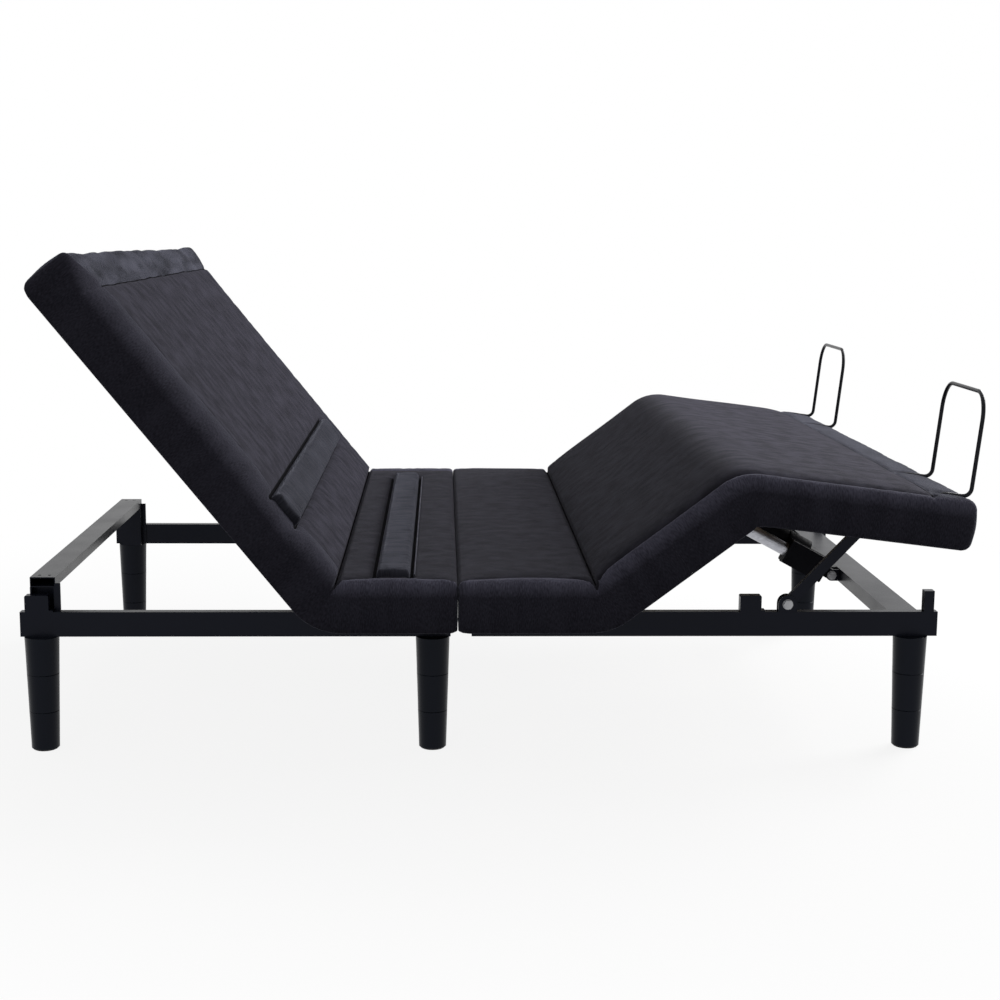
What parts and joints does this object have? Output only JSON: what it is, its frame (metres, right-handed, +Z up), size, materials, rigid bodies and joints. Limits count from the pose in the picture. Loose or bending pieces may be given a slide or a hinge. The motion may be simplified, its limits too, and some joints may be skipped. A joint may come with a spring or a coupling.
{
  "type": "adjustable bed base",
  "caption": "Adjustable bed base: upholstered back, seat, thigh and calf sections on a steel frame with screw-in legs, linear actuators, calf struts and wire mattress retainers.",
  "frame": {"origin": "on the floor under the middle of the bounding box, on the bed's middle plane", "axes": "+X towards the foot end, +Z up, +Y across the bed, to the left of someone who lies on it face up"},
  "size_m": [1.8571, 1.511, 0.9658],
  "materials": {
    "cover_fabric": "woven",
    "plush_fabric": "plush",
    "board_wood": "raw",
    "black_steel": "satin powder coat",
    "glide_plastic": "matte",
    "zinc_steel": "zinc plated",
    "black_plastic": "matte",
    "silver_tube": "satin anodised",
    "bright_rod": "polished"
  },
  "bodies": {
    "base": {"head_rails": "black_steel", "foot_rails": "black_steel", "head_crossbar": "black_steel", "head_posts": "black_steel", "foot_crossbar": "black_steel", "low_crossbars": "black_steel", "frame_bolts": "zinc_steel", "leg_upper_sections": "black_steel", "leg_middle_sections": "black_steel", "leg_lower_sections": "black_steel", "leg_glides": "glide_plastic", "rest_brackets": "black_steel", "strut_brackets": "black_steel", "pivot_bolts": "zinc_steel", "seat_cross_tubes": "black_steel", "seat_posts": "black_steel", "seat_head_board": "board_wood", "seat_foot_board": "board_wood", "seat_head_pad": "cover_fabric", "seat_foot_pad": "cover_fabric", "seat_skirts": "cover_fabric", "seat_strip": "plush_fabric", "seat_hinge_leaves": "zinc_steel", "seat_hinge_pins": "zinc_steel", "actuator_brackets": "black_steel", "control_box": "black_plastic", "power_supply": "black_plastic"},
    "back_section": {"back_board": "board_wood", "back_pad": "cover_fabric", "back_skirts": "cover_fabric", "back_frame": "black_steel", "back_hinge_leaves": "zinc_steel", "back_strip": "plush_fabric", "lift_arms": "black_steel"},
    "thigh_section": {"thigh_board": "board_wood", "thigh_pad": "cover_fabric", "thigh_skirts": "cover_fabric", "thigh_frame": "black_steel", "thigh_hinge_leaves": "zinc_steel", "knee_hinge_pins": "zinc_steel", "thigh_lift_bracket": "black_steel"},
    "calf_section": {"calf_board": "board_wood", "calf_pad": "cover_fabric", "calf_skirts": "cover_fabric", "calf_frame": "black_steel", "calf_hinge_leaves": "zinc_steel", "strut_top_brackets": "black_steel", "retainer_bars": "black_steel", "retainer_sockets": "black_steel"},
    "near_calf_strut": {"near_strut": "black_steel"},
    "far_calf_strut": {"far_strut": "black_steel"},
    "foot_actuator": {"foot_gearbox": "black_plastic", "foot_motor": "black_plastic", "foot_tube": "silver_tube"},
    "foot_actuator_rod": {"foot_rod": "bright_rod"},
    "head_actuator": {"head_gearbox": "black_plastic", "head_motor": "black_plastic", "head_tube": "silver_tube"},
    "head_actuator_rod": {"head_rod": "bright_rod"}
  },
  "joints": [
    {"name": "head_tilt", "type": "hinge", "parent": "base", "child": "back_section", "pos_m": [-0.30355, 0, 0.358], "axis": [0, 1, 0], "range_deg": [-51, 9]},
    {"name": "thigh_tilt", "type": "hinge", "parent": "base", "child": "thigh_section", "pos_m": [0.20145, 0, 0.358], "axis": [0, -1, 0], "range_deg": [-37, 5]},
    {"name": "calf_fold", "type": "hinge", "parent": "thigh_section", "child": "calf_section", "pos_m": [0.46819, 0, 0.55901], "axis": [0, -1, 0], "range_deg": [-6, 44.05]},
    {"name": "near_strut_tilt", "type": "hinge", "parent": "base", "child": "near_calf_strut", "pos_m": [0.60145, -0.502, 0.297], "axis": [0, -1, 0], "range_deg": [-43.27, 5.89]},
    {"name": "far_strut_tilt", "type": "hinge", "parent": "base", "child": "far_calf_strut", "pos_m": [0.60145, 0.502, 0.297], "axis": [0, -1, 0], "range_deg": [-43.27, 5.89]},
    {"name": "foot_actuator_swing", "type": "hinge", "parent": "base", "child": "foot_actuator", "pos_m": [0.79145, -0.06, 0.267], "axis": [0, -1, 0], "range_deg": [-2.5, 18.18]},
    {"name": "foot_rod_slide", "type": "slide", "parent": "foot_actuator", "child": "foot_actuator_rod", "axis": [-0.8799, 0, 0.4752], "range_m": [-0.0861, 0.0119]},
    {"name": "head_actuator_swing", "type": "hinge", "parent": "base", "child": "head_actuator", "pos_m": [0.16645, 0, 0.305], "axis": [0, -1, 0], "range_deg": [-3.62, 0.68]},
    {"name": "head_rod_slide", "type": "slide", "parent": "head_actuator", "child": "head_actuator_rod", "axis": [-0.9958, 0, -0.0913], "range_m": [-0.0727, 0.0131]}
  ],
  "couplings": [
    {"joint": "calf_fold", "follows": "thigh_tilt", "ratio": -1.1892},
    {"joint": "near_strut_tilt", "follows": "thigh_tilt", "ratio": 1.168},
    {"joint": "far_strut_tilt", "follows": "thigh_tilt", "ratio": 1.168},
    {"joint": "foot_actuator_swing", "follows": "thigh_tilt", "ratio": -0.49},
    {"joint": "foot_rod_slide", "follows": "thigh_tilt", "m_per_rad": 0.13293},
    {"joint": "head_actuator_swing", "follows": "head_tilt", "ratio": 0.07},
    {"joint": "head_rod_slide", "follows": "head_tilt", "m_per_rad": 0.08136}
  ]
}
